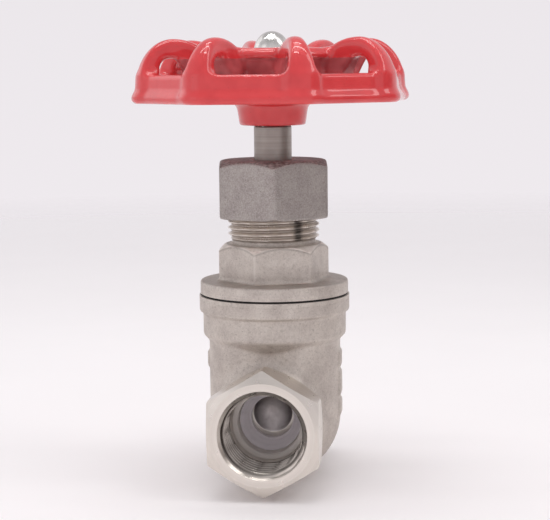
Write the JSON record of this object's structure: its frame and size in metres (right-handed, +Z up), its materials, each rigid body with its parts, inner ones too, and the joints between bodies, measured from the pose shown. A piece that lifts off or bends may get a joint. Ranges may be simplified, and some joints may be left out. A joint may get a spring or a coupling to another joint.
{
  "type": "gate valve",
  "caption": "Screwed-end gate valve with hexagonal pipe ends, a screwed bonnet and a lobed handwheel that turns a non-rising stem and lifts a wedge out of the pipe's bore.",
  "frame": {"origin": "middle of the small ground flat under the body, straight below the stem; the pipe axis is 16.4 mm above it", "axes": "+Z up along the stem, Y along the pipe, with the port that the picture shows towards -Y, X across"},
  "size_m": [0.0674, 0.0674, 0.1123],
  "materials": {
    "cast_steel": "bead-blasted stainless casting, with machined pipe ends",
    "nut_steel": "matte pickled stainless",
    "turned_steel": "fine turned satin",
    "seat_steel": "smooth turned, bluish",
    "wedge_steel": "dark cast face",
    "plated_steel": "bright plated",
    "red_enamel": "thick glossy stove enamel on a casting",
    "gasket_fibre": "black fibre sheet",
    "packing_ptfe": "white packing"
  },
  "bodies": {
    "valve_body": {"body": "cast_steel", "seat_ring_front": "seat_steel", "seat_ring_back": "seat_steel", "bonnet_gasket": "gasket_fibre", "bonnet": "cast_steel", "stem_retainer": "turned_steel", "stem_thrust_washer_lower": "turned_steel", "stem_thrust_washer_upper": "turned_steel", "packing_adapter_lower": "turned_steel", "packing_ring_1": "packing_ptfe", "packing_ring_2": "packing_ptfe", "packing_ring_3": "packing_ptfe", "packing_adapter_upper": "turned_steel", "gland_follower": "turned_steel", "gland_nut": "nut_steel"},
    "spindle": {"stem": "turned_steel", "handwheel": "red_enamel", "wheel_washer": "plated_steel", "spring_washer": "plated_steel", "dome_nut": "plated_steel"},
    "gate": {"wedge": "wedge_steel"}
  },
  "joints": [
    {"name": "handwheel_turn", "type": "hinge", "parent": "valve_body", "child": "spindle", "pos_m": [0, 0, 0.0891], "axis": [0, 0, 1], "range_deg": [0, 2160]},
    {"name": "wedge_lift", "type": "slide", "parent": "valve_body", "child": "gate", "axis": [0, 0, 1], "range_m": [0, 0.015]}
  ],
  "couplings": [
    {"joint": "wedge_lift", "follows": "handwheel_turn", "m_per_rad": 0.00039789}
  ]
}
